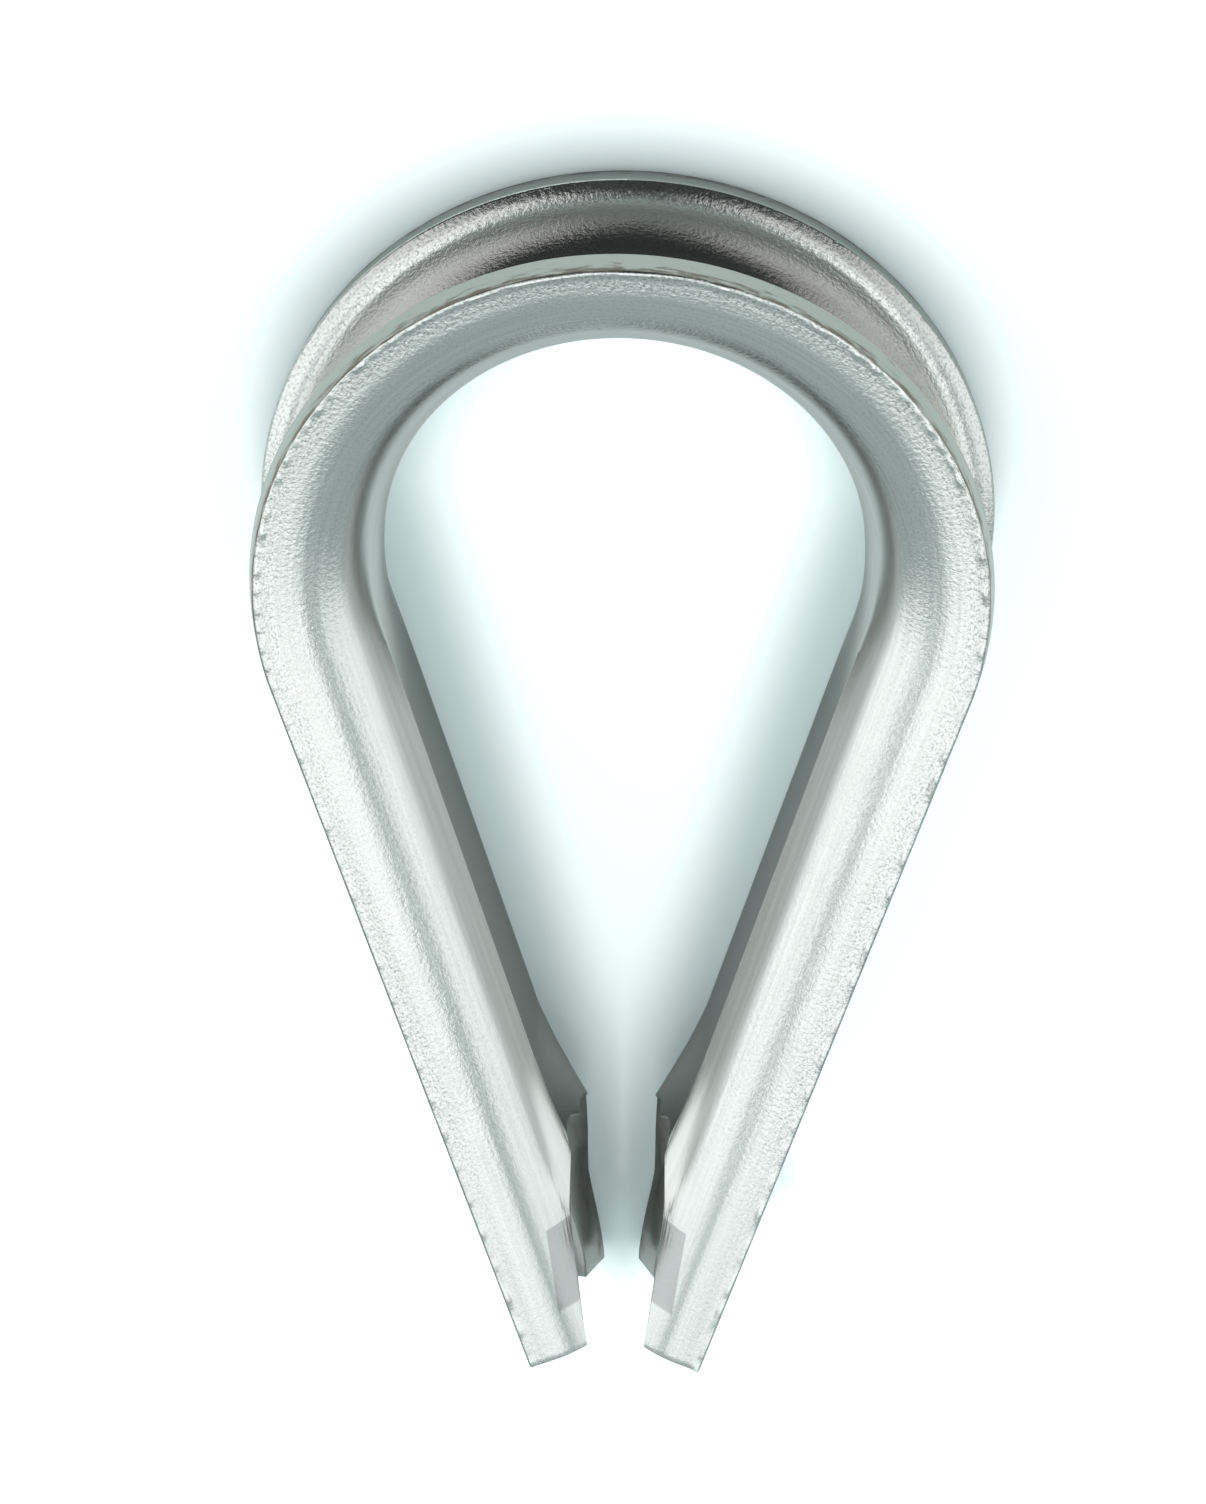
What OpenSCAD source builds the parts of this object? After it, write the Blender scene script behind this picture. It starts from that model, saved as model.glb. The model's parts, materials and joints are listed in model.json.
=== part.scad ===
// Wire-rope thimble for thin rope. One strip of stainless sheet is rolled to a channel that opens
// outwards and bent to a pear-shaped eye. The rope lies in the channel, and a pin or shackle bears on
// the smooth back of the channel inside the eye. Both ends of the strip are notched along the plane
// between the legs, so the legs meet in a mitre and each ends in two tongues.
// The eye runs along Z, the crown points to +Y and the tips to -Y. The origin is the crown's centre.

/* [Rope groove] */
// Diameter of the rope that lies in the groove
rope_d = 3; // [2:0.1:4]
// Room between the rope and the groove, on the radius
rope_room = 0.2; // [0:0.05:0.5]

/* [Sheet] */
// Thickness of the sheet
sheet_t = 0.9; // [0.5:0.05:1.2]
// Straight length of each flange, past its bend
flange_l = 0.6; // [0.4:0.05:1.6]
// Lean of each flange away from the middle plane, in degrees
flange_lean = 7; // [0:0.5:20]
// Radius of the sheared edges along the rims
rim_r = 0.12; // [0.04:0.01:0.2]

/* [Eye] */
// Width of the eye across the crown
eye_w = 11.4; // [9:0.1:15]
// Lean of each leg towards the other, in degrees
leg_lean = 17.6; // [15:0.1:21]
// Length of each leg, from the end of the crown to the square ends of its tongues
leg_l = 20.2; // [16:0.1:24]

/* [Leg ends] */
// Gap between the two legs at the rims, where they come closest
tip_gap = 1; // [0.4:0.1:3]
// Width of the notch's straight bottom, across the web
notch_w = 3.4; // [0:0.1:4.4]
// Lean of each side of the notch, from the rim to its bottom, in degrees
notch_lean = 25; // [0:0.5:35]

/* [Hidden] */
seat_r = rope_d / 2 + rope_room;
bend_r = seat_r + sheet_t;
bend_x = eye_w / 2 + bend_r;
rim_z = bend_r * cos(flange_lean) + flange_l * sin(flange_lean);
mouth = 2 * bend_r + flange_l;
reach = bend_x + mouth + leg_l;
past = 1;
section_fn = 96;
rim_fn = 32;
crown_fn = 240;

// Half of the channel's round back, up to the line where the flange begins
module bend() {
    difference() {
        circle(bend_r, $fn = section_fn);
        circle(seat_r, $fn = section_fn);
        translate([0, -mouth])
            square([mouth, 2 * mouth]);
    }
}

// Straight flange with both edges of its rim eased
module flange() {
    translate([0, seat_r]) {
        square([flange_l - rim_r, sheet_t]);
        translate([0, rim_r])
            square([flange_l, sheet_t - 2 * rim_r]);
        for (edge = [rim_r, sheet_t - rim_r])
            translate([flange_l - rim_r, edge])
                circle(rim_r, $fn = rim_fn);
    }
}

// Half of the channel's section, on one side of the middle plane
module half_channel() {
    difference() {
        rotate(flange_lean) {
            bend();
            flange();
        }
        translate([-mouth, -mouth])
            square([2 * mouth, mouth]);
    }
}

// Section of the channel, with the axis of the crown at x = 0
module channel() {
    translate([bend_x, 0]) {
        half_channel();
        mirror([0, 1])
            half_channel();
    }
}

// Bent top of the eye, which ends where the legs leave it in a straight line
module crown() {
    rotate([0, 0, -leg_lean])
        rotate_extrude(angle = 180 + 2 * leg_lean, $fn = crown_fn)
            channel();
}

// Space that the notch and the gap between the legs take from the right leg
module notch() {
    slope = tan(notch_lean);
    bottom_z = notch_w / 2;
    bottom_x = tip_gap / 2 + (rim_z - bottom_z) * slope;
    far_z = rim_z + past;
    far_x = bottom_x - (far_z - bottom_z) * slope;
    rotate([90, 0, 0])
        linear_extrude(reach)
            polygon([
                [-reach, -far_z],
                [far_x, -far_z],
                [bottom_x, -bottom_z],
                [bottom_x, bottom_z],
                [far_x, far_z],
                [-reach, far_z]
            ]);
}

// Right leg, straight from the crown to the square ends of its two tongues
module leg() {
    difference() {
        rotate([0, 0, -leg_lean])
            rotate([90, 0, 0])
                linear_extrude(leg_l)
                    channel();
        notch();
    }
}

// The whole strip
module thimble() {
    color("silver")
        union() {
            crown();
            leg();
            mirror([1, 0, 0])
                leg();
        }
}

thimble();
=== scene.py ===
"""Looks of a wire-rope thimble: its rolled, notched and bent stainless strip on a white table."""
import json
import math
from typing import NamedTuple

import bmesh
import bpy
import numpy as np
from bpy.props import FloatProperty, FloatVectorProperty, PointerProperty
from mathutils import Matrix, Vector, noise


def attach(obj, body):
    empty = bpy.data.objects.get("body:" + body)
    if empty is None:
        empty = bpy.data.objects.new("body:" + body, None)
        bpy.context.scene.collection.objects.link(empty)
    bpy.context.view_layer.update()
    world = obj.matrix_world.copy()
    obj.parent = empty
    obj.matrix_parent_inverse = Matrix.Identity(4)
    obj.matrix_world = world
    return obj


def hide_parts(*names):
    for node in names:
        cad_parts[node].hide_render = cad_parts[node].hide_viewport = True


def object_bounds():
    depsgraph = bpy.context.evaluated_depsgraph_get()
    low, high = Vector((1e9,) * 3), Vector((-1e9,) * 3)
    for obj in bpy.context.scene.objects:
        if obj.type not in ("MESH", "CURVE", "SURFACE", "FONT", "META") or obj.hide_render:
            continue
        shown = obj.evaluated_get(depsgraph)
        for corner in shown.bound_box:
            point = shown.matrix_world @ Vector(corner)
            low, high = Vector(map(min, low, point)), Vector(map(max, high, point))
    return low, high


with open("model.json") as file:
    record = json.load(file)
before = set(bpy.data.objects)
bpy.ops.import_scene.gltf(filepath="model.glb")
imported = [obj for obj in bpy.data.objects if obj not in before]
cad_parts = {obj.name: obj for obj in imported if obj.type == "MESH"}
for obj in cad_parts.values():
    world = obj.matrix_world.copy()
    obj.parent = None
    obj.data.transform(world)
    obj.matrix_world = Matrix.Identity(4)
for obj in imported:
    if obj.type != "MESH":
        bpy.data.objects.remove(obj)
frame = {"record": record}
CAD_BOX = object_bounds()

bl_info = {
    "name": "Wire-rope thimble",
    "version": (1, 0, 0),
    "blender": (4, 5, 0),
    "location": "View3D > Sidebar > Thimble",
    "description": "Models a small stainless rope thimble on a white table",
    "category": "Object",
}

MM = 0.001
MOUNTS = {mount["name"]: mount for mount in frame["record"]["mounts"]}
EYE_R = MOUNTS["eye"]["dims"]["r_mm"] * MM
GROOVE_R = MOUNTS["rope_groove"]["dims"]["r_mm"] * MM
ROPE_R = MOUNTS["rope_groove"]["pos_m"][1]
# Height of the photo in pixels
IMAGE_H = 1504
# Steps of the mesh round the channel's back, and the one at which the legs' pressed web has its crease
BEND_STEPS = 64
CREASE_STEP = 11
# Edge of the notch on the right leg's back, in millimetres: height from the middle plane, and distance from
# the plane between the legs
NOTCH_EDGE = (
    (-2.65, 0.15),
    (-2.2, 0.22),
    (-2.0, 0.3),
    (-1.85, 0.41),
    (-1.7, 0.58),
    (-1.5, 0.84),
    (-1.34, 1.05),
    (-1.25, 1.11),
    (0, 0.88),
    (1.25, 1.26),
    (1.36, 1.15),
    (1.8, 0.92),
    (2.05, 0.75),
    (2.2, 0.62),
    (2.35, 0.35),
    (2.65, 0.3),
)
# Name, place, width and height of each softbox, in metres, and the brightness of its front
SOFTBOXES = (
    ("overhead_softbox", (0, -0.135, 0.481), (0.6, 0.35), 1.3),
    ("left_back_softbox", (-0.27, 0.16, 0.55), (0.36, 0.25), 1.2),
    ("right_back_softbox", (0.27, 0.16, 0.55), (0.36, 0.25), 1.0),
    ("left_softbox", (-0.5, 0.035, 0.3), (0.67, 0.42), 1.2),
    ("right_softbox", (0.5, 0.035, 0.28), (0.67, 0.36), 1.0),
)


def linear(code):
    """Linear red, green and blue of an sRGB hex code."""
    parts = [int(code[i : i + 2], 16) / 255 for i in (1, 3, 5)]
    return tuple(c / 12.92 if c <= 0.04045 else ((c + 0.055) / 1.055) ** 2.4 for c in parts)


def length(name, description, default):
    """A length that a user can set, in metres."""
    return FloatProperty(name=name, description=description, default=default, unit="LENGTH", precision=5)


def angle(name, description, degrees):
    """An angle that a user can set."""
    return FloatProperty(name=name, description=description, default=math.radians(degrees), subtype="ANGLE")


def colour(name, description, code):
    """A colour that a user can set, from its sRGB hex code."""
    return FloatVectorProperty(
        name=name, description=description, default=linear(code), subtype="COLOR", size=3, min=0, max=1
    )


class ThimbleSizes(bpy.types.PropertyGroup):
    """Sizes of the strip"""

    eye_r: length("Eye radius", "Radius of the crown's back, inside the eye", EYE_R)
    groove_r: length("Groove radius", "Radius of the groove that the rope lies in", GROOVE_R)
    sheet_t: length("Sheet", "Thickness of the sheet", ROPE_R - EYE_R - GROOVE_R)
    flange_l: length("Flange", "Straight length of each flange, past its bend", 0.6 * MM)
    flange_lean: angle("Flange lean", "Lean of each flange away from the middle plane", 7)
    leg_lean: angle("Leg lean", "Lean of each leg towards the other", 17.6)
    leg_l: length("Leg", "Length of each leg, from the crown to the square ends of its tongues", 20.2 * MM)
    far_more: length("Far tongues' lead", "Length by which the far tongues pass the near ones", 0.3 * MM)
    edge_r: length("Edges", "Radius of the sheared edges", 0.05 * MM)
    roll_w: length("Roll width", "Width of the rims' rolled corners, across the groove's face", 0.6 * MM)
    roll_h: length("Roll height", "Height of the rims' rolled corners, into the sheet", 0.2 * MM)


class ThimbleLook(bpy.types.PropertyGroup):
    """Colours of the strip and the stage"""

    steel: colour("Steel", "Rolled face of the strip", "#CBCDCA")
    steel_dull: colour("Streaks", "Streaks of the rolled face that kept a little scale", "#B2B4B1")
    # Painted shade: the groove's colour is darker steel for the shade inside the groove
    steel_dark: colour("Dark steel", "Groove, where some scale is left", "#9C9B97")
    pit: colour("Pits", "Pits of the pickled face", "#868886")
    # Painted shade: the web's colour is darker steel for the shaded table that the web reflects
    web: colour("Web", "Flat of the legs' web, which kept its scale", "#ACAEAA")
    # Painted shade: the coined flats' grey stands for their tilt away from the light
    coin: colour("Coined flats", "Flats that the notching tool left on the near tongues", "#9A9B9A")
    cut: colour("Cut", "Burnished part of the sheared edges", "#999C96")
    # Painted shade: the notches' cut faces are darker for the shadow they face into
    tip: colour("Notch", "Cut faces of the notches", "#7C7D79")
    stain: colour("Stain", "Torn part of the sheared edges", "#766E66")
    table: colour("Table", "White table", "#EAFAFA")
    fill: colour("Fill light", "Light from the room", "#EDFFFF")


def activate(piece):
    """Leaves one object selected and active."""
    bpy.ops.object.select_all(action="DESELECT")
    piece.select_set(True)
    bpy.context.view_layer.objects.active = piece


def pick(piece, kind, test):
    """Selects, in edit mode, the points, edges or faces that pass a test, and nothing else."""
    bpy.ops.mesh.select_all(action="DESELECT")
    bpy.ops.mesh.select_mode(type=kind)
    shape = bmesh.from_edit_mesh(piece.data)
    for part in {"VERT": shape.verts, "EDGE": shape.edges, "FACE": shape.faces}[kind]:
        part.select_set(test(part))
    shape.select_flush_mode()
    bmesh.update_edit_mesh(piece.data)


def apply_modifier(piece, kind, **settings):
    """Adds a modifier with its settings and applies it."""
    modifier = piece.modifiers.new(kind.title(), kind)
    for name, value in settings.items():
        setattr(modifier, name, value)
    activate(piece)
    bpy.ops.object.modifier_apply(modifier=modifier.name)


def add_node(tree, kind, links=(), **settings):
    """Adds a shader node, with links and inputs by the name or number of their socket, and its settings."""
    node = tree.nodes.new(kind)
    for name, value in settings.pop("inputs", {}).items():
        node.inputs[name].default_value = value
    for name, value in settings.items():
        setattr(node, name, value)
    for name, source in dict(links).items():
        tree.links.new(source, node.inputs[name])
    return node


def read_points(piece):
    """A piece's vertices as an array of rows."""
    points = np.empty(len(piece.data.vertices) * 3)
    piece.data.vertices.foreach_get("co", points)
    return points.reshape(-1, 3)


def write_points(piece, points):
    """Puts a piece's vertices where the rows say."""
    piece.data.vertices.foreach_set("co", points.ravel())
    piece.data.update()


def mark_points(piece, name, values):
    """Gives a piece's vertices a named value each, for its material."""
    mark = piece.data.attributes.new(name, "FLOAT", "POINT")
    mark.data.foreach_set("value", values.astype(np.float32))


class Spots(NamedTuple):
    """Where points lie in the strip, in millimetres: along it from the crown's top, down the leg from the
    crown's end, out from the eye's centre line, up from the middle plane, across from the middle of the
    strip's back, and deep into the sheet from its back."""

    along: np.ndarray
    down: np.ndarray
    out: np.ndarray
    up: np.ndarray
    across: np.ndarray
    depth: np.ndarray


class StripForm:
    """The strip's sizes in millimetres, and where a point lies in it."""

    def __init__(self, sizes):
        self.eye_r = sizes.eye_r / MM
        self.groove_r = sizes.groove_r / MM
        self.sheet_t = sizes.sheet_t / MM
        self.flange_l = sizes.flange_l / MM
        self.leg_l = sizes.leg_l / MM
        self.far_more = sizes.far_more / MM
        self.edge_r = sizes.edge_r / MM
        self.roll_w = sizes.roll_w / MM
        self.roll_h = sizes.roll_h / MM
        self.lean = sizes.flange_lean
        self.leg_lean = sizes.leg_lean
        self.back_r = self.groove_r + self.sheet_t
        self.rope_r = self.eye_r + self.back_r
        self.bend_arc = math.pi / 2 - self.lean
        self.crown_arc = math.pi / 2 + self.leg_lean
        self.rim_out = self.rope_r - self.back_r * math.sin(self.lean) + self.flange_l * math.cos(self.lean)
        self.rim_up = self.back_r * math.cos(self.lean) + self.flange_l * math.sin(self.lean)
        self.rim_across = self.back_r * self.bend_arc + self.flange_l

    def leg_way(self, distance):
        """Step along the right leg, away from the crown."""
        return Vector((-math.sin(self.leg_lean), -math.cos(self.leg_lean), 0)) * distance

    def locate(self, points):
        """Where points lie in the strip."""
        x, y, up = np.abs(points[:, 0]), points[:, 1], points[:, 2].copy()
        down_leg = -math.sin(self.leg_lean) * x - math.cos(self.leg_lean) * y
        leg_out = math.cos(self.leg_lean) * x - math.sin(self.leg_lean) * y
        turn = np.arctan2(x, y)
        in_leg = turn > self.crown_arc
        out = np.where(in_leg, leg_out, np.hypot(x, y))
        along = np.where(in_leg, self.crown_arc * self.rope_r + down_leg, turn * self.rope_r)
        down = along - self.crown_arc * self.rope_r
        across, depth = self.section(out, up)
        return Spots(along * np.where(points[:, 0] < 0, -1, 1), down, out, up, across, depth)

    def section(self, out, up):
        """Distances of points across the strip from the middle of its back, and deep into the sheet."""
        inward = self.rope_r - out
        height = np.abs(up)
        turn = np.arctan2(height, inward)
        flange_run = -inward * math.cos(self.lean) + height * math.sin(self.lean)
        flange_depth = self.back_r - inward * math.sin(self.lean) - height * math.cos(self.lean)
        in_flange = turn > self.bend_arc
        across = np.where(in_flange, self.back_r * self.bend_arc + flange_run, self.back_r * turn)
        depth = np.where(in_flange, flange_depth, self.back_r - np.hypot(inward, height))
        return across * np.sign(up), depth

    def square_end(self, up):
        """Distance down the leg of the square end of the near or the far tongue."""
        return self.leg_l + np.where(up < 0, self.far_more, 0)

    def notch_reach(self, out, up):
        """Distance down the leg at which points of the strip's back meet the notch or the square end."""
        heights, gaps = zip(*NOTCH_EDGE)
        edge_x = np.interp(up, heights, gaps)
        reach = (out * math.cos(self.leg_lean) - edge_x) / math.sin(self.leg_lean)
        return np.minimum(reach, self.square_end(up))


class THIMBLE_OT_strip(bpy.types.Operator):
    """Rolls, notches and bends the stainless strip"""

    bl_idname = "thimble.strip"
    bl_label = "Strip"

    def execute(self, context):
        form = StripForm(context.scene.thimble_sizes)
        look = context.scene.thimble_look
        smooth_below = math.radians(25)
        strip = draw_section(form)
        bend_eye(form)
        notch_ends(strip, form)
        strip.data.materials.append(rolled_stainless(look))
        strip.data.materials.append(sheared_stainless(look))
        thicken(strip, form)
        for finish in (slant_notch, flare_web, coin_tongues, map_strip, roll_rims, raise_burr, settle_eye):
            finish(strip, form)
        strip.scale = (MM, MM, MM)
        activate(strip)
        bpy.ops.object.transform_apply(location=False, rotation=False, scale=True)
        bpy.ops.object.shade_smooth_by_angle(angle=smooth_below)
        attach(strip, "root")
        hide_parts("thimble")
        return {"FINISHED"}


def draw_section(form):
    """Draws the channel's outer line at the top of the crown, from one rim round the back to the other."""
    flange_steps = 12
    flange_step = form.flange_l / flange_steps
    step_out = flange_step * math.cos(form.lean)
    step_up = flange_step * math.sin(form.lean)
    bpy.ops.object.select_all(action="DESELECT")
    bpy.ops.mesh.primitive_plane_add(size=1, location=(0, 0, 0))
    strip = bpy.context.object
    strip.name = strip.data.name = "thimble_strip"
    bpy.ops.object.mode_set(mode="EDIT")
    bpy.ops.mesh.merge(type="CENTER")
    bpy.ops.transform.translate(value=(0, form.rim_out, -form.rim_up))
    for _ in range(flange_steps):
        bpy.ops.mesh.extrude_region_move(TRANSFORM_OT_translate={"value": (0, -step_out, step_up)})
    bpy.ops.mesh.spin(steps=BEND_STEPS, angle=2 * form.bend_arc, center=(0, form.rope_r, 0), axis=(1, 0, 0))
    for _ in range(flange_steps):
        bpy.ops.mesh.extrude_region_move(TRANSFORM_OT_translate={"value": (0, step_out, step_up)})
    return strip


def bend_eye(form):
    """Sweeps the section, which is still in edit mode, round one half of the crown and down the leg."""
    crown_steps = 94
    bpy.ops.mesh.select_all(action="SELECT")
    bpy.ops.mesh.spin(steps=crown_steps, angle=form.crown_arc, center=(0, 0, 0), axis=(0, 0, 1))
    bpy.ops.mesh.extrude_region_move(TRANSFORM_OT_translate={"value": form.leg_way(form.leg_l)})


def notch_ends(strip, form):
    """Slides the leg's last points back along it to the sides of the notch, and divides the leg."""
    leg_cuts = 120
    same_spot = 1e-4
    shape = bmesh.from_edit_mesh(strip.data)
    ends = [v.co.copy() for v in shape.verts if v.select]
    for end in ends:
        out = math.cos(form.leg_lean) * end.x - math.sin(form.leg_lean) * end.y
        reach = float(form.notch_reach(out, end.z))
        pick(strip, "VERT", lambda v: (v.co - end).length < same_spot)
        bpy.ops.transform.translate(value=form.leg_way(reach - form.leg_l))
    pick(strip, "EDGE", lambda e: e.calc_length() > form.leg_l / 2)
    bpy.ops.mesh.subdivide(number_cuts=leg_cuts)
    bpy.ops.object.mode_set(mode="OBJECT")


def thicken(strip, form):
    """Mirrors the half, gives the sheet its thickness towards the groove and eases its sheared edges."""
    ease_above = math.radians(50)
    apply_modifier(strip, "MIRROR", use_axis=(True, False, False), merge_threshold=0.001)
    middle = min(strip.data.polygons, key=lambda p: (p.center - Vector((0, form.eye_r, 0))).length)
    if middle.normal.y > 0:
        bpy.ops.object.mode_set(mode="EDIT")
        bpy.ops.mesh.select_all(action="SELECT")
        bpy.ops.mesh.flip_normals()
        bpy.ops.object.mode_set(mode="OBJECT")
    apply_modifier(strip, "SOLIDIFY", thickness=form.sheet_t, offset=-1, material_offset_rim=1)
    apply_modifier(
        strip,
        "BEVEL",
        width=form.edge_r,
        segments=3,
        limit_method="ANGLE",
        angle_limit=ease_above,
        use_clamp_overlap=False,
    )


def slant_notch(strip, form):
    """Slants the cut of the notch, so that the groove's side of the sheet reaches further than its back."""
    slant = 1.0
    slant_l = 2.5
    start_up = 1.3
    rise_up = 0.4
    points = read_points(strip)
    spots = form.locate(points)
    turn = np.abs(spots.across) / form.back_r
    back_out = form.rope_r - form.back_r * np.cos(turn)
    back_up = form.back_r * np.sin(turn) * np.sign(spots.up)
    reach = form.notch_reach(back_out, back_up)
    near_end = np.clip(1 - (reach - spots.down) / slant_l, 0, 1)
    most = slant * np.clip((np.abs(back_up) - start_up) / rise_up, 0, 1)
    room = (form.square_end(spots.up) - reach) / 2
    slide = np.minimum(most, room) * near_end * np.clip(spots.depth / form.sheet_t, 0, 1)
    points[:, 0] -= slide * math.sin(form.leg_lean) * np.sign(points[:, 0])
    points[:, 1] -= slide * math.cos(form.leg_lean)
    write_points(strip, points)


def flare_web(strip, form):
    """Flares the end of the web into the eye, where the notch left it without its shoulders. Both faces of
    the sheet move alike, by their height on its back."""
    flare = 0.58
    flare_l = 3.0
    flare_end = 15.3
    flare_power = 1.25
    heights = (-1.65, -1.15, 1.2, 1.7)
    shares = (0, 1, 0.4, 0)
    points = read_points(strip)
    spots = form.locate(points)
    back_up = form.back_r * np.sin(spots.across / form.back_r)
    near_end = np.clip(1 - (flare_end - spots.down) / flare_l, 0, 1)
    inward = flare * near_end**flare_power * np.interp(back_up, heights, shares)
    points[:, 0] -= inward * math.cos(form.leg_lean) * np.sign(points[:, 0])
    points[:, 1] += inward * math.sin(form.leg_lean)
    write_points(strip, points)


def coin_tongues(strip, form):
    """Presses the inner edge of each near tongue, where the notching tool bore on it: a lip that the tool
    pushed up, then the flat that it left, whose grey is painted shade in the sheet's material."""
    flat_x = 1.6
    flat_slope = math.tan(math.radians(7))
    flat_start = 16.5
    near_up = 0.5
    stops = (15.2, 15.7, flat_start, 16.85, 18.8, 19.1)
    rises = (0, 0.16, 0.16, -0.04, -0.04, 0)
    points = read_points(strip)
    spots = form.locate(points)
    edge_x = flat_x - (spots.down - flat_start) * flat_slope
    inside = np.clip(edge_x - np.abs(points[:, 0]), 0, None)
    outer_face = np.clip(1 - spots.depth / form.sheet_t, 0, 1) * (spots.up > near_up)
    points[:, 2] += inside * np.interp(spots.down, stops, rises) * outer_face
    write_points(strip, points)


def map_strip(strip, form):
    """Gives the strip a map in millimetres, along and across it, and the depth of each point in the sheet."""
    spots = form.locate(read_points(strip))
    corners = np.empty(len(strip.data.loops), dtype=np.int32)
    strip.data.loops.foreach_get("vertex_index", corners)
    flat = np.stack([spots.along, spots.across], axis=1)
    uv = strip.data.uv_layers.new(name="strip_mm")
    uv.uv.foreach_set("vector", flat[corners].astype(np.float32).ravel())
    mark_points(strip, "depth_mm", spots.depth)


def roll_rims(strip, form):
    """Rolls the groove's side of each rim over, as the shear did before it cut through."""
    points = read_points(strip)
    spots = form.locate(points)
    near_rim = np.clip(1 - (form.rim_across - np.abs(spots.across)) / form.roll_w, 0, 1)
    drop = form.roll_h * near_rim**2 * np.clip(spots.depth / form.sheet_t, 0, 1)
    points[:, 2] += drop * math.cos(form.lean) * np.sign(spots.up)
    write_points(strip, points)


def raise_burr(strip, form):
    """Draws the torn corner of each rim out into a burr, whole over the crown and broken on the legs."""
    burr_h = 0.04
    burr_depth = 0.1
    dash_l = 0.5
    gap_share = 0.3
    gap_h = -0.3
    dash_h = 0.55
    uneven_h = 0.45
    rims_apart = 40
    whole_turn = math.radians(35)
    rim_stops = (0, 0.05, 0.1, 0.15, 0.2, 0.25)
    rim_shares = (0.2, 0.6, 1, 0.6, 0.15, 0)
    points = read_points(strip)
    spots = form.locate(points)
    share = np.interp(form.rim_across - np.abs(spots.across), rim_stops, rim_shares)
    share = share * np.clip(1 - spots.depth / burr_depth, 0, 1)
    for i in np.nonzero(share)[0]:
        side = 1 if spots.up[i] > 0 else -1
        turn = spots.along[i] / form.rope_r
        dash = spots.along[i] / dash_l + rims_apart * side
        height = dash_h + uneven_h * noise.cell(Vector((math.floor(dash), side, 0.5)))
        if abs(turn) > whole_turn and dash % 1 < gap_share:
            height = gap_h
        turn = max(-form.crown_arc, min(form.crown_arc, turn))
        lift = burr_h * share[i] * height
        tip_in = lift * math.sin(form.lean)
        points[i] += (-tip_in * math.sin(turn), -tip_in * math.cos(turn), side * lift * math.cos(form.lean))
    write_points(strip, points)


def settle_eye(strip, form):
    """Leaves the rims and the web as bending did: rims drawn in over the crown and out at the shoulders,
    and legs whose web is pressed flat, with a facet on each side, and leans less than their rims."""
    rim_stretch = 0.0926
    rim_draw = 0.2138
    rim_close = 0.0073
    web_open = 0.0117
    flat_start = -3.0
    flat_l = 6.0
    facet_turn = math.radians(42)
    crease_turn = 2 * form.bend_arc * CREASE_STEP / BEND_STEPS
    crease_w = 0.05
    points = read_points(strip)
    spots = form.locate(points)
    turn = np.clip(np.abs(spots.along) / form.rope_r, 0, form.crown_arc)
    down = np.clip(spots.down, 0, None)
    rim_move = rim_stretch - rim_draw * np.cos(turn) - rim_close * down
    web_move = web_open * down
    rim_share = (spots.out - form.eye_r) / (form.rim_out - form.eye_r)
    move = web_move + (rim_move - web_move) * rim_share
    leg_share = np.clip((spots.down - flat_start) / flat_l, 0, 1)
    leg_share = leg_share**2 * (3 - 2 * leg_share)
    round_turn = np.minimum(np.abs(spots.across) / form.back_r, facet_turn)
    past_crease = form.back_r * (crease_turn - round_turn)
    on_flat = np.clip(past_crease, 0, None)
    on_facet = form.back_r * (facet_turn - round_turn) - on_flat
    web_in = form.back_r * math.cos(facet_turn) + math.sin(facet_turn) * on_facet
    web_up = form.back_r * math.sin(facet_turn) - math.cos(facet_turn) * on_facet - on_flat
    web_share = leg_share * (round_turn < facet_turn)
    move += (form.back_r * np.cos(round_turn) - web_in) * web_share
    points[:, 0] += move * np.sin(turn) * np.sign(spots.along)
    points[:, 1] += move * np.cos(turn)
    points[:, 2] += (web_up - form.back_r * np.sin(round_turn)) * web_share * np.sign(spots.across)
    write_points(strip, points)
    # This mark also places the web's painted shade, in its colour and edge tint
    mark_points(strip, "web_flat", np.clip(past_crease / crease_w, 0, 1) * leg_share)


def metal_shader(name):
    """A new metal material: its node tree, its shader and the strip's map in millimetres."""
    material = bpy.data.materials.new(name)
    material.use_nodes = True
    tree = material.node_tree
    shader = tree.nodes["Principled BSDF"]
    shader.inputs["Metallic"].default_value = 1
    strip_map = add_node(tree, "ShaderNodeUVMap", uv_map="strip_mm")
    return material, tree, shader, strip_map.outputs["UV"]


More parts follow.
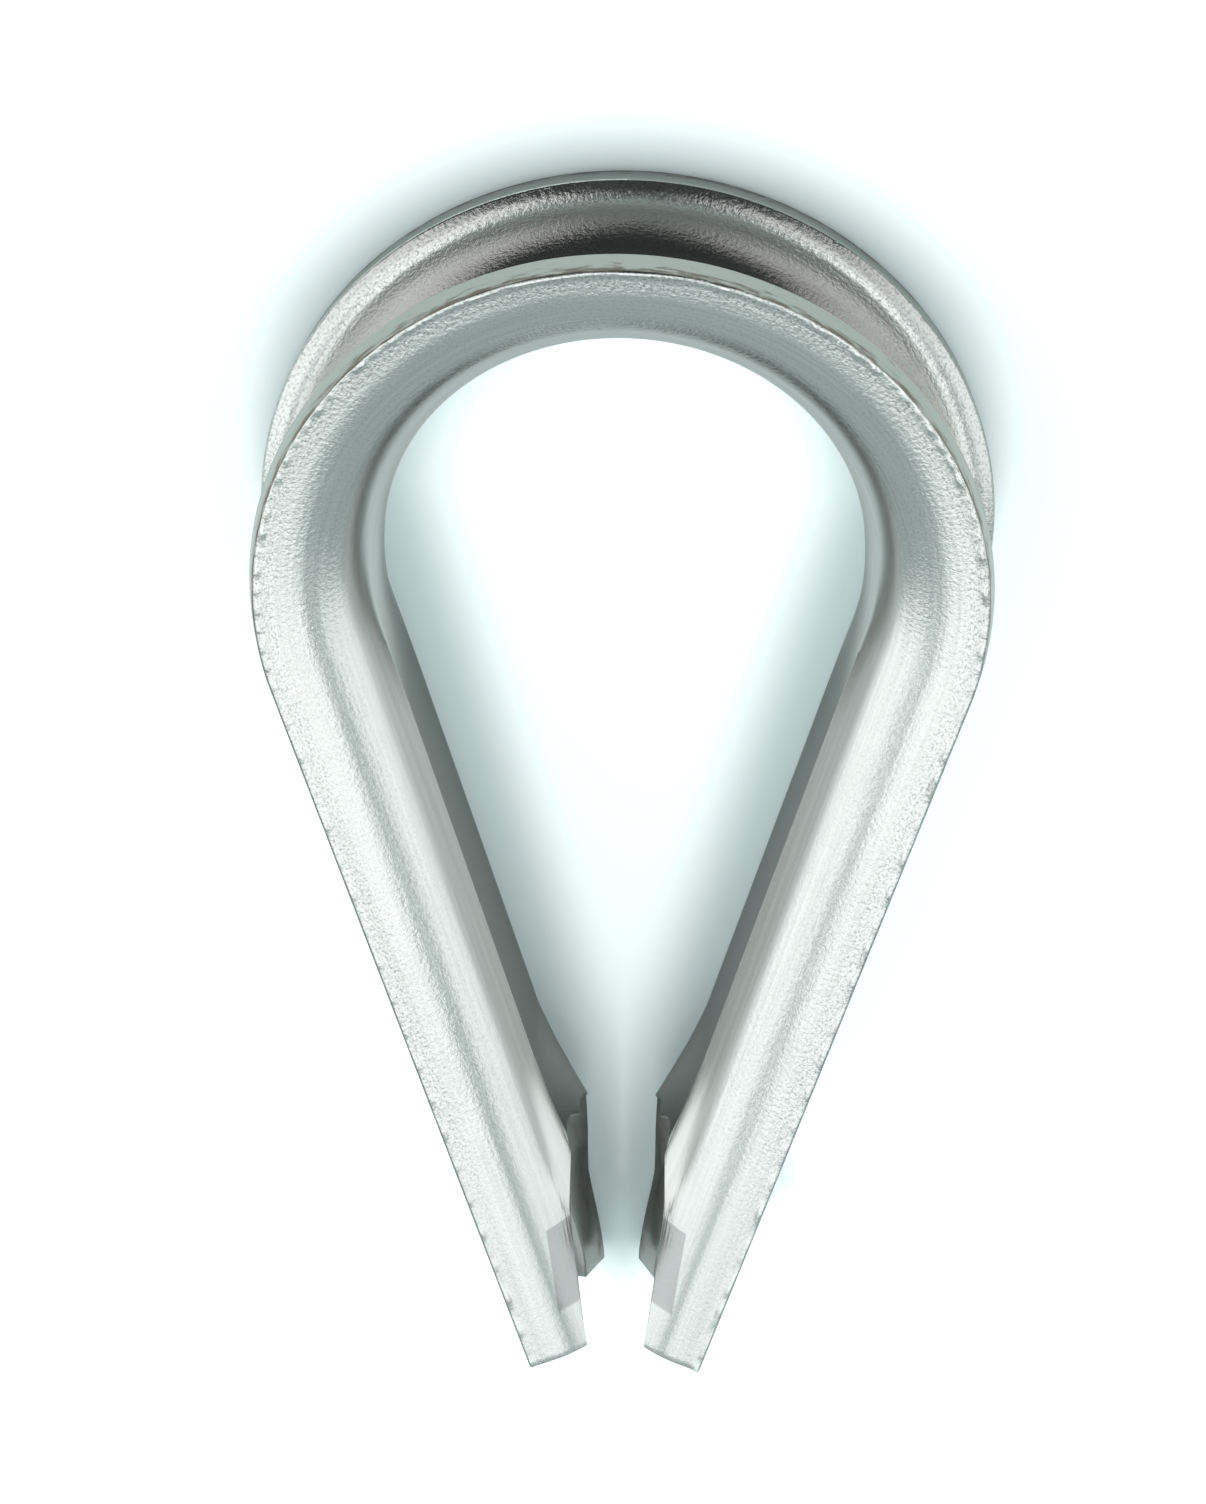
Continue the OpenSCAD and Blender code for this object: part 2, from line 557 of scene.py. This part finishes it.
def rolled_stainless(look):
    """Stainless sheet, cold rolled, pickled and drawn through forming rolls. The rolls leave streaks along
    the strip and a smooth back, and pickling leaves a fine grain on the flanges that breaks highlights into
    specks. Painted shade darkens the groove, the legs' web and the notching tool's flats."""
    streak_l = 9.0
    streak_w = 0.13
    streak_relief = 0.15
    grain_d = 0.12
    blotch_d = 1.3
    web_rough = 0.26
    flange_rough = (0.12, 0.24)
    web_relief = 0.08
    relief_h = 0.009 * MM
    # Steel seen edge-on is darker than the shader's white, and darker still on the legs' web as painted shade
    edge_tint = (0.55, 0.55, 0.55, 1)
    web_edge_tint = (0.38, 0.38, 0.38, 1)
    material, tree, shader, spot = metal_shader("Rolled stainless sheet")
    place = add_node(tree, "ShaderNodeSeparateXYZ", {"Vector": spot})
    along = add_node(tree, "ShaderNodeMath", {0: place.outputs["X"]}, operation="ABSOLUTE")
    across = add_node(tree, "ShaderNodeMath", {0: place.outputs["Y"]}, operation="ABSOLUTE")
    depth = add_node(tree, "ShaderNodeAttribute", attribute_name="depth_mm")
    web = add_node(tree, "ShaderNodeAttribute", attribute_name="web_flat")
    pickled = pickled_mask(tree, along.outputs[0], across.outputs[0])
    streaks = add_node(
        tree,
        "ShaderNodeMapping",
        {"Vector": spot},
        inputs={"Scale": (1 / streak_l, 1 / streak_w, 1)},
    )
    streaks = add_node(
        tree,
        "ShaderNodeTexNoise",
        {"Vector": streaks.outputs["Vector"]},
        noise_dimensions="2D",
        inputs={"Scale": 1, "Detail": 3, "Roughness": 0.6},
    )
    mixed = add_node(
        tree,
        "ShaderNodeMix",
        {0: streaks.outputs["Fac"]},
        data_type="RGBA",
        inputs={6: (*look.steel_dull, 1), 7: (*look.steel, 1)},
    )
    layers = (
        # Pits, then painted shade on the legs' web, the coined flats and the groove
        (pit_mask(tree, spot, across.outputs[0], pickled), look.pit),
        (web.outputs["Fac"], look.web),
        (coin_mask(tree, along.outputs[0], place.outputs["Y"], depth.outputs["Fac"]), look.coin),
        (groove_mask(tree, across.outputs[0], depth.outputs["Fac"]), look.steel_dark),
    )
    for mask, tone in layers:
        mixed = add_node(
            tree,
            "ShaderNodeMix",
            {0: mask, 6: mixed.outputs[2]},
            data_type="RGBA",
            inputs={7: (*tone, 1)},
        )
    tree.links.new(mixed.outputs[2], shader.inputs["Base Color"])
    edge_on = add_node(
        tree,
        "ShaderNodeMix",
        {0: web.outputs["Fac"]},
        data_type="RGBA",
        inputs={6: edge_tint, 7: web_edge_tint},
    )
    tree.links.new(edge_on.outputs[2], shader.inputs["Specular Tint"])
    # Real grain is a few hundredths of a millimetre, so it is drawn coarser to show
    grain = add_node(
        tree,
        "ShaderNodeTexNoise",
        {"Vector": spot},
        noise_dimensions="2D",
        inputs={"Scale": 1 / grain_d, "Detail": 3, "Roughness": 0.65},
    )
    blotch = add_node(
        tree,
        "ShaderNodeTexNoise",
        {"Vector": spot},
        noise_dimensions="2D",
        inputs={"Scale": 1 / blotch_d, "Detail": 4, "Roughness": 0.65},
    )
    rough = add_node(
        tree,
        "ShaderNodeMath",
        {0: grain.outputs["Fac"], 1: blotch.outputs["Fac"]},
        operation="ADD",
    )
    rough = add_node(
        tree,
        "ShaderNodeMapRange",
        {"Value": rough.outputs[0]},
        inputs={"From Min": 0.6, "From Max": 1.4, "To Min": flange_rough[0], "To Max": flange_rough[1]},
    )
    rough = add_node(
        tree,
        "ShaderNodeMix",
        {0: pickled, 3: rough.outputs[0]},
        data_type="FLOAT",
        inputs={2: web_rough},
    )
    tree.links.new(rough.outputs[0], shader.inputs["Roughness"])
    relief = add_node(
        tree,
        "ShaderNodeMath",
        {0: streaks.outputs["Fac"], 2: grain.outputs["Fac"]},
        operation="MULTIPLY_ADD",
        inputs={1: streak_relief},
    )
    strength = add_node(
        tree,
        "ShaderNodeMapRange",
        {"Value": pickled},
        inputs={"To Min": web_relief, "To Max": 1},
    )
    bump = add_node(
        tree,
        "ShaderNodeBump",
        {"Height": relief.outputs[0], "Strength": strength.outputs[0]},
        inputs={"Distance": relief_h},
    )
    tree.links.new(bump.outputs["Normal"], shader.inputs["Normal"])
    return material


def pickled_mask(tree, along, across):
    """Flanges and shoulders, which kept their pickled grain, less so on the tongues, which the tool wore."""
    smooth_across = 1.95
    pickled_across = 2.5
    wear_start = 28
    wear_end = 31.5
    worn_share = 0.35
    pickled = add_node(
        tree,
        "ShaderNodeMapRange",
        {"Value": across},
        interpolation_type="SMOOTHSTEP",
        inputs={"From Min": smooth_across, "From Max": pickled_across},
    )
    unworn = add_node(
        tree,
        "ShaderNodeMapRange",
        {"Value": along},
        inputs={"From Min": wear_start, "From Max": wear_end, "To Min": 1, "To Max": worn_share},
    )
    pickled = add_node(
        tree,
        "ShaderNodeMath",
        {0: pickled.outputs[0], 1: unworn.outputs[0]},
        operation="MULTIPLY",
    )
    return pickled.outputs[0]


def pit_mask(tree, spot, across, pickled):
    """Pits of the pickled faces, which stand closer on the flanges."""
    # Real pits are a few hundredths of a millimetre, so they are drawn coarser to show
    pit_l = 0.09
    pit_w = 0.06
    pit_share = 0.32
    bend_across = 3.75
    flange_across = 3.95
    bend_level = 0.6
    flange_level = 2
    pits = add_node(
        tree,
        "ShaderNodeMapping",
        {"Vector": spot},
        inputs={"Scale": (1 / pit_l, 1 / pit_w, 1), "Location": (7, 3, 0)},
    )
    pits = add_node(
        tree,
        "ShaderNodeTexNoise",
        {"Vector": pits.outputs["Vector"]},
        noise_dimensions="2D",
        inputs={"Scale": 1, "Detail": 2, "Roughness": 0.6},
    )
    pits = add_node(
        tree,
        "ShaderNodeMapRange",
        {"Value": pits.outputs["Fac"]},
        inputs={"From Min": 0.48, "From Max": 0.72, "To Max": pit_share},
    )
    by_rim = add_node(
        tree,
        "ShaderNodeMapRange",
        {"Value": across},
        interpolation_type="SMOOTHSTEP",
        inputs={
            "From Min": bend_across,
            "From Max": flange_across,
            "To Min": bend_level,
            "To Max": flange_level,
        },
    )
    for level in (pickled, by_rim.outputs[0]):
        pits = add_node(tree, "ShaderNodeMath", {0: pits.outputs[0], 1: level}, operation="MULTIPLY")
    return pits.outputs[0]


def coin_mask(tree, along, across, depth):
    """Painted shade on the near tongues' flats, between their two ends and inside a slanting line, on the
    strip's back.
    """
    coin_share = 0.9
    coin_slope = 0.193
    start = (32.27, 32.31)
    end = (34.56, 34.48)
    inner_side = (-3.515, -3.555)
    near_side = (0.5, 0.6)
    back_depth = (0.4, 0.3)
    side = add_node(
        tree,
        "ShaderNodeMath",
        {0: along, 2: across},
        operation="MULTIPLY_ADD",
        inputs={1: -coin_slope},
    )
    coined = add_node(
        tree,
        "ShaderNodeMapRange",
        {"Value": along},
        inputs={"From Min": start[0], "From Max": start[1], "To Max": coin_share},
    )
    edges = ((along, end), (side.outputs[0], inner_side), (across, near_side), (depth, back_depth))
    for source, (off, full) in edges:
        edge = add_node(
            tree,
            "ShaderNodeMapRange",
            {"Value": source},
            inputs={"From Min": off, "From Max": full},
        )
        coined = add_node(
            tree,
            "ShaderNodeMath",
            {0: coined.outputs[0], 1: edge.outputs[0]},
            operation="MULTIPLY",
        )
    return coined.outputs[0]


def groove_mask(tree, across, depth):
    """Painted shade on the groove's side of the sheet, up to the rolled-over rims."""
    back_depth = 0.5
    groove_depth = 0.7
    scaled_across = 3.5
    bright_across = 3.95
    in_groove = add_node(
        tree,
        "ShaderNodeMapRange",
        {"Value": depth},
        interpolation_type="SMOOTHSTEP",
        inputs={"From Min": back_depth, "From Max": groove_depth},
    )
    off_rim = add_node(
        tree,
        "ShaderNodeMapRange",
        {"Value": across},
        interpolation_type="SMOOTHSTEP",
        inputs={"From Min": scaled_across, "From Max": bright_across, "To Min": 1, "To Max": 0},
    )
    in_groove = add_node(
        tree,
        "ShaderNodeMath",
        {0: in_groove.outputs[0], 1: off_rim.outputs[0]},
        operation="MULTIPLY",
    )
    return in_groove.outputs[0]


def sheared_stainless(look):
    """Stainless sheet where the shear cut it: a burnished band on the groove's side, which shines, and a torn
    one by the burr, which is brownish and dull. The cuts of the notches are darkened as painted shade."""
    tear_l = 0.7
    tear_w = 0.16
    burr_depth = 0.05
    burnished_depth = 0.5
    tip_start = 28
    tip_end = 29.5
    tip_share = 0.85
    cut_rough = 0.3
    torn_rough = 0.5
    material, tree, shader, spot = metal_shader("Sheared stainless edge")
    depth = add_node(tree, "ShaderNodeAttribute", attribute_name="depth_mm")
    place = add_node(tree, "ShaderNodeSeparateXYZ", {"Vector": spot})
    face = add_node(tree, "ShaderNodeCombineXYZ", {"X": place.outputs["X"], "Y": depth.outputs["Fac"]})
    tear = add_node(
        tree,
        "ShaderNodeMapping",
        {"Vector": face.outputs[0]},
        inputs={"Scale": (1 / tear_l, 1 / tear_w, 1)},
    )
    tear = add_node(
        tree,
        "ShaderNodeTexNoise",
        {"Vector": tear.outputs["Vector"]},
        noise_dimensions="2D",
        inputs={"Scale": 1, "Detail": 4, "Roughness": 0.65},
    )
    by_burr = add_node(
        tree,
        "ShaderNodeMapRange",
        {"Value": depth.outputs["Fac"]},
        inputs={"From Min": burr_depth, "From Max": burnished_depth, "To Min": 0.2, "To Max": -0.12},
    )
    torn = add_node(
        tree,
        "ShaderNodeMath",
        {0: tear.outputs["Fac"], 1: by_burr.outputs[0]},
        operation="ADD",
    )
    torn = add_node(
        tree,
        "ShaderNodeMapRange",
        {"Value": torn.outputs[0]},
        inputs={"From Min": 0.52, "From Max": 0.72},
    )
    mixed = add_node(
        tree,
        "ShaderNodeMix",
        {0: torn.outputs[0]},
        data_type="RGBA",
        inputs={6: (*look.cut, 1), 7: (*look.stain, 1)},
    )
    along = add_node(tree, "ShaderNodeMath", {0: place.outputs["X"]}, operation="ABSOLUTE")
    # Painted shade on the cut faces of the notches, near the tips
    by_tip = add_node(
        tree,
        "ShaderNodeMapRange",
        {"Value": along.outputs[0]},
        inputs={"From Min": tip_start, "From Max": tip_end, "To Max": tip_share},
    )
    mixed = add_node(
        tree,
        "ShaderNodeMix",
        {0: by_tip.outputs[0], 6: mixed.outputs[2]},
        data_type="RGBA",
        inputs={7: (*look.tip, 1)},
    )
    tree.links.new(mixed.outputs[2], shader.inputs["Base Color"])
    rough = add_node(
        tree,
        "ShaderNodeMapRange",
        {"Value": torn.outputs[0]},
        inputs={"To Min": cut_rough, "To Max": torn_rough},
    )
    tree.links.new(rough.outputs[0], shader.inputs["Roughness"])
    return material


class THIMBLE_OT_stage(bpy.types.Operator):
    """Sets the table, the lamps and the camera"""

    bl_idname = "thimble.stage"
    bl_label = "Stage"

    def execute(self, context):
        look = context.scene.thimble_look
        lay_table(look)
        light_room(context, look)
        for name, place, size, radiance in SOFTBOXES:
            place_lamp(name, place, size, radiance)
        aim_camera(context)
        context.scene.view_settings.view_transform = "Standard"
        return {"FINISHED"}


def lay_table(look):
    """Lays the table under the thimble."""
    table_r = 1.5
    bpy.ops.object.select_all(action="DESELECT")
    bpy.ops.mesh.primitive_circle_add(
        vertices=96, radius=table_r, fill_type="NGON", location=(0, 0, CAD_BOX[0][2])
    )
    table = bpy.context.object
    table.name = table.data.name = "table"
    bpy.ops.object.transform_apply(location=True)
    table.data.materials.append(white_laminate(look))


def white_laminate(look):
    """Matt white laminate, which scatters light evenly and hardly shines."""
    material = bpy.data.materials.new("Matt white laminate")
    material.use_nodes = True
    tree = material.node_tree
    shader = tree.nodes["Principled BSDF"]
    shader.inputs["Base Color"].default_value = (*look.table, 1)
    shader.inputs["Roughness"].default_value = 0.9
    shader.inputs["Specular IOR Level"].default_value = 0.1
    shader.inputs["Emission Color"].default_value = (1, 1, 1, 1)
    path = add_node(tree, "ShaderNodeLightPath")
    seen = path.outputs["Is Camera Ray"]
    for ray in ("Is Glossy Ray", "Is Transmission Ray"):
        either = add_node(tree, "ShaderNodeMath", {0: seen, 1: path.outputs[ray]}, operation="MAXIMUM")
        seen = either.outputs[0]
    # Painted light: the table glows to camera, glossy and transmission rays, less close to the strip
    lift = add_node(
        tree,
        "ShaderNodeMath",
        {0: seen, 1: table_lift(tree)},
        operation="MULTIPLY",
    )
    tree.links.new(lift.outputs[0], shader.inputs["Emission Strength"])
    return material


def table_lift(tree):
    """Painted light, a glow that the table adds to be seen as white: most of it away from the strip, outside
    and inside the eye, and little close to the strip, where its shadow lies."""
    white = 0.43
    shade_outside = 0.03
    shade_inside = 0.05
    leg_end = -20.5 * MM
    leg_closing = 5.8 * MM
    tips_start = -19.5 * MM
    tips_end = -39.5 * MM
    past_tips = 30 * MM
    crown_y = 5 * MM
    tip_shadow = (-21.5 * MM, -18 * MM)
    rim_r = 8.2 * MM
    leg_fade_r = 9.3 * MM
    crown_fade_r = 10.3 * MM
    tip_fade_r = 12.5 * MM
    eye_fade = (3.8 * MM, 6 * MM)
    far_fade = (40 * MM, 80 * MM)
    far_share = 0.2
    place = add_node(tree, "ShaderNodeTexCoord")
    place = add_node(tree, "ShaderNodeSeparateXYZ", {"Vector": place.outputs["Object"]})
    up_picture = place.outputs["Y"]
    forward = add_node(tree, "ShaderNodeMath", {0: up_picture}, operation="MAXIMUM", inputs={1: 0})
    ring = add_node(tree, "ShaderNodeCombineXYZ", {"X": place.outputs["X"], "Y": forward.outputs[0]})
    ring = add_node(tree, "ShaderNodeVectorMath", {0: ring.outputs[0]}, operation="LENGTH")
    legs = add_node(
        tree,
        "ShaderNodeMapRange",
        {"Value": up_picture},
        inputs={"From Min": leg_end, "From Max": 0, "To Min": leg_closing, "To Max": 0},
    )
    tips = add_node(
        tree,
        "ShaderNodeMapRange",
        {"Value": up_picture},
        inputs={"From Min": tips_end, "From Max": tips_start, "To Min": past_tips, "To Max": 0},
    )
    # Distance from the eye's centre line, in the measure of the crown's radius all the way down the legs
    off_centre = ring.outputs["Value"]
    for more in (legs, tips):
        total = add_node(tree, "ShaderNodeMath", {0: off_centre, 1: more.outputs[0]}, operation="ADD")
        off_centre = total.outputs[0]
    crown_fade = add_node(
        tree,
        "ShaderNodeMapRange",
        {"Value": up_picture},
        inputs={"From Min": 0, "From Max": crown_y, "To Min": leg_fade_r, "To Max": crown_fade_r},
    )
    tip_fade = add_node(
        tree,
        "ShaderNodeMapRange",
        {"Value": up_picture},
        inputs={
            "From Min": tip_shadow[0],
            "From Max": tip_shadow[1],
            "To Min": tip_fade_r,
            "To Max": leg_fade_r,
        },
    )
    fade = add_node(
        tree,
        "ShaderNodeMath",
        {0: crown_fade.outputs[0], 1: tip_fade.outputs[0]},
        operation="MAXIMUM",
    )
    outside = add_node(
        tree,
        "ShaderNodeMapRange",
        {"Value": off_centre, "From Max": fade.outputs[0]},
        interpolation_type="SMOOTHSTEP",
        inputs={"From Min": rim_r, "To Min": shade_outside, "To Max": white},
    )
    inside = add_node(
        tree,
        "ShaderNodeMapRange",
        {"Value": off_centre},
        interpolation_type="SMOOTHSTEP",
        inputs={"From Min": eye_fade[0], "From Max": eye_fade[1], "To Min": white, "To Max": shade_inside},
    )
    lift = add_node(
        tree,
        "ShaderNodeMath",
        {0: outside.outputs[0], 1: inside.outputs[0]},
        operation="MAXIMUM",
    )
    far_off = add_node(
        tree,
        "ShaderNodeMapRange",
        {"Value": off_centre},
        inputs={"From Min": far_fade[0], "From Max": far_fade[1], "To Min": 1, "To Max": far_share},
    )
    lift = add_node(
        tree,
        "ShaderNodeMath",
        {0: lift.outputs[0], 1: far_off.outputs[0]},
        operation="MULTIPLY",
    )
    return lift.outputs[0]


def light_room(context, look):
    """Light from the room, which is brighter on the tips' side than behind the crown."""
    bright_level = 0.64
    dim_level = 0.07
    bright_way = -0.1
    dim_way = 0.35
    world = bpy.data.worlds.new("room")
    context.scene.world = world
    world.use_nodes = True
    tree = world.node_tree
    sky = tree.nodes["Background"]
    sky.inputs["Color"].default_value = (*look.fill, 1)
    way = add_node(tree, "ShaderNodeTexCoord")
    way = add_node(tree, "ShaderNodeSeparateXYZ", {"Vector": way.outputs["Generated"]})
    level = add_node(
        tree,
        "ShaderNodeMapRange",
        {"Value": way.outputs["Y"]},
        inputs={"From Min": bright_way, "From Max": dim_way, "To Min": bright_level, "To Max": dim_level},
    )
    tree.links.new(level.outputs[0], sky.inputs["Strength"])


def place_lamp(name, place, size, radiance):
    """Hangs a softbox that faces the thimble, with the brightness of its front."""
    way = -Vector(place)
    bpy.ops.object.select_all(action="DESELECT")
    bpy.ops.object.light_add(type="AREA", location=place, rotation=way.to_track_quat("-Z", "Y").to_euler())
    lamp = bpy.context.object
    lamp.name = lamp.data.name = name
    lamp.data.shape = "RECTANGLE"
    lamp.data.size, lamp.data.size_y = size
    lamp.data.energy = radiance * math.pi * size[0] * size[1]
    lamp.visible_camera = False


def aim_camera(context):
    """Stands the camera above the crown's side, with the crown at the top of the picture."""
    tilt = math.radians(29.725)
    swing = math.radians(3.449)
    roll = math.radians(0.3855)
    distance = 206.33 * MM
    target_right = -0.511 * MM
    target_up = -5.019 * MM
    pixel_per_mm = 42.1515
    sensor_w = 36
    nearest = 0.01
    back = Vector((math.sin(tilt) * math.sin(swing), math.sin(tilt) * math.cos(swing), math.cos(tilt)))
    level_up = (Vector((0, 1, 0)) - back * back.y).normalized()
    level_right = level_up.cross(back)
    right = level_right * math.cos(roll) + level_up * math.sin(roll)
    up = level_up * math.cos(roll) - level_right * math.sin(roll)
    place = back * distance + right * target_right + up * target_up
    bpy.ops.object.select_all(action="DESELECT")
    bpy.ops.object.camera_add()
    camera = bpy.context.object
    camera.name = camera.data.name = "camera"
    camera.matrix_world = Matrix.Translation(place) @ Matrix((right, up, back)).transposed().to_4x4()
    camera.data.sensor_width = sensor_w
    camera.data.lens = sensor_w * distance / MM * pixel_per_mm / IMAGE_H
    camera.data.clip_start = nearest
    context.scene.camera = camera


class THIMBLE_PT_panel(bpy.types.Panel):
    """Sizes, colours and steps of the thimble"""

    bl_label = "Thimble"
    bl_idname = "THIMBLE_PT_panel"
    bl_space_type = "VIEW_3D"
    bl_region_type = "UI"
    bl_category = "Thimble"

    def draw(self, context):
        for group in (context.scene.thimble_sizes, context.scene.thimble_look):
            for name in group.__annotations__:
                self.layout.prop(group, name)
        for step in STEPS:
            self.layout.operator(step.bl_idname)


STEPS = (THIMBLE_OT_strip, THIMBLE_OT_stage)
CLASSES = (ThimbleSizes, ThimbleLook, *STEPS, THIMBLE_PT_panel)


def register():
    """Adds the thimble's classes and settings to Blender."""
    for kind in CLASSES:
        bpy.utils.register_class(kind)
    bpy.types.Scene.thimble_sizes = PointerProperty(type=ThimbleSizes)
    bpy.types.Scene.thimble_look = PointerProperty(type=ThimbleLook)


def unregister():
    """Takes the thimble's classes and settings out of Blender."""
    del bpy.types.Scene.thimble_look
    del bpy.types.Scene.thimble_sizes
    for kind in reversed(CLASSES):
        bpy.utils.unregister_class(kind)


def main():
    """Builds the thimble and its stage."""
    register()
    bpy.ops.thimble.strip()
    bpy.ops.thimble.stage()


if __name__ == "__main__":
    main()
